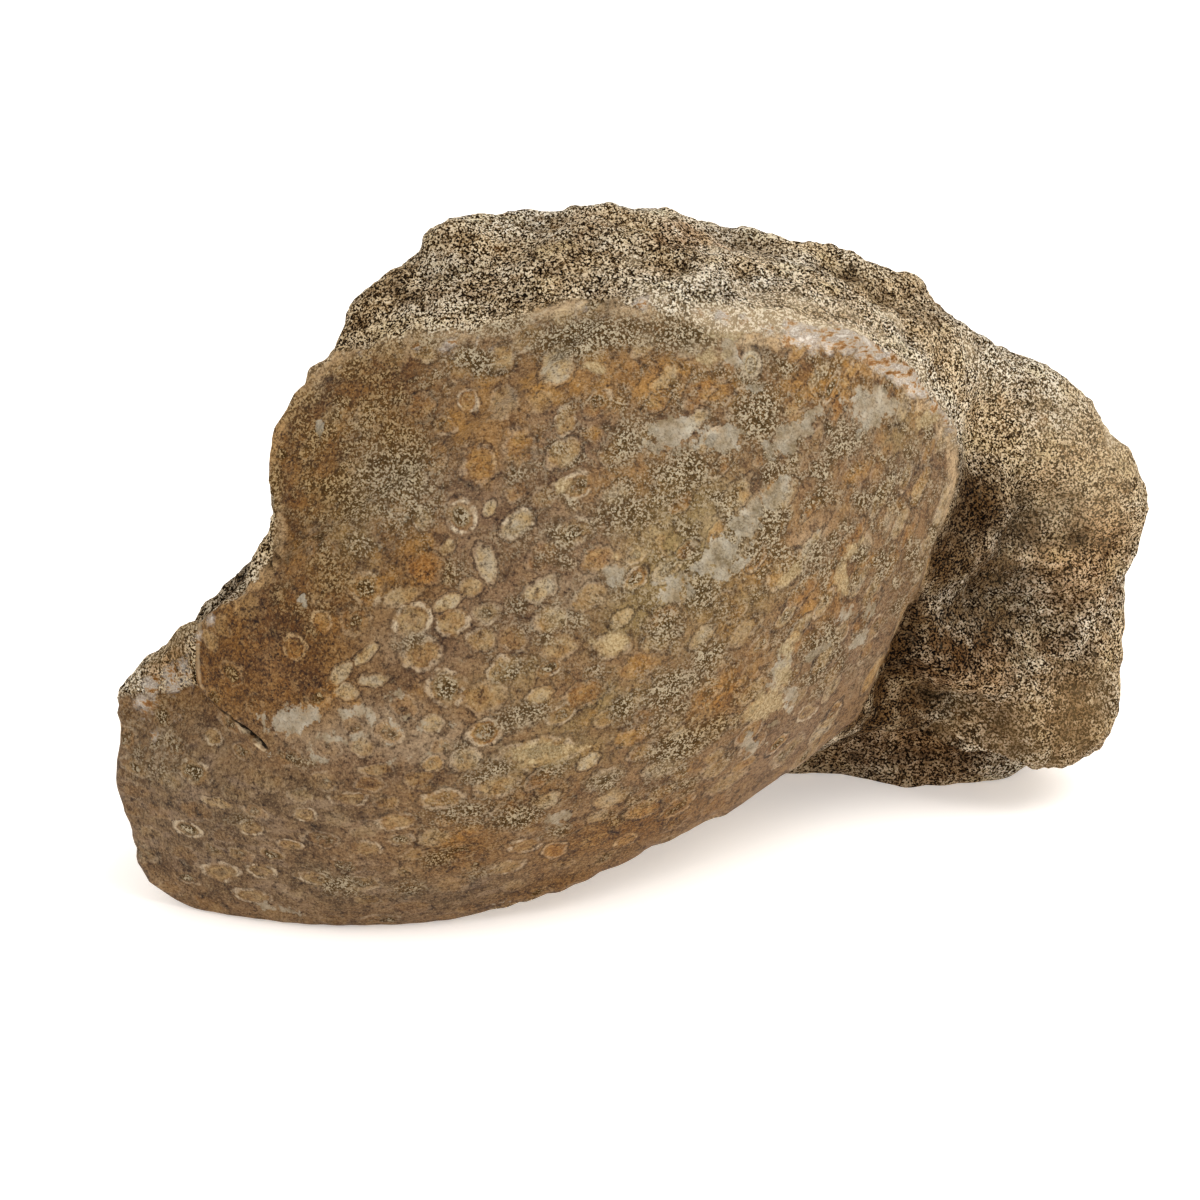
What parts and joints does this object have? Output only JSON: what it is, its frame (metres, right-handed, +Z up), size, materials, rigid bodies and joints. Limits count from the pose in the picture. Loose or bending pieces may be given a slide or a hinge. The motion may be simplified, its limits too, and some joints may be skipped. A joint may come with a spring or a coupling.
{
  "type": "fossil coral stone",
  "caption": "Lump of sandy limestone with a smooth worn front that cuts through a fossil coral colony; stands on its own flat spots.",
  "frame": {"origin": "on the surface that the stone stands on, under the middle of its box", "axes": "+Z up, the coral face looks along -Y, +X along the stone's length towards its rough lobe"},
  "size_m": [0.1454, 0.0912, 0.0877],
  "materials": {
    "fossil_limestone": "brown and ochre limestone; smooth, dull worn face with pale coral rings, rough grainy matrix around it"
  },
  "bodies": {
    "root": {"fossil_coral_stone": "fossil_limestone"}
  },
  "joints": []
}
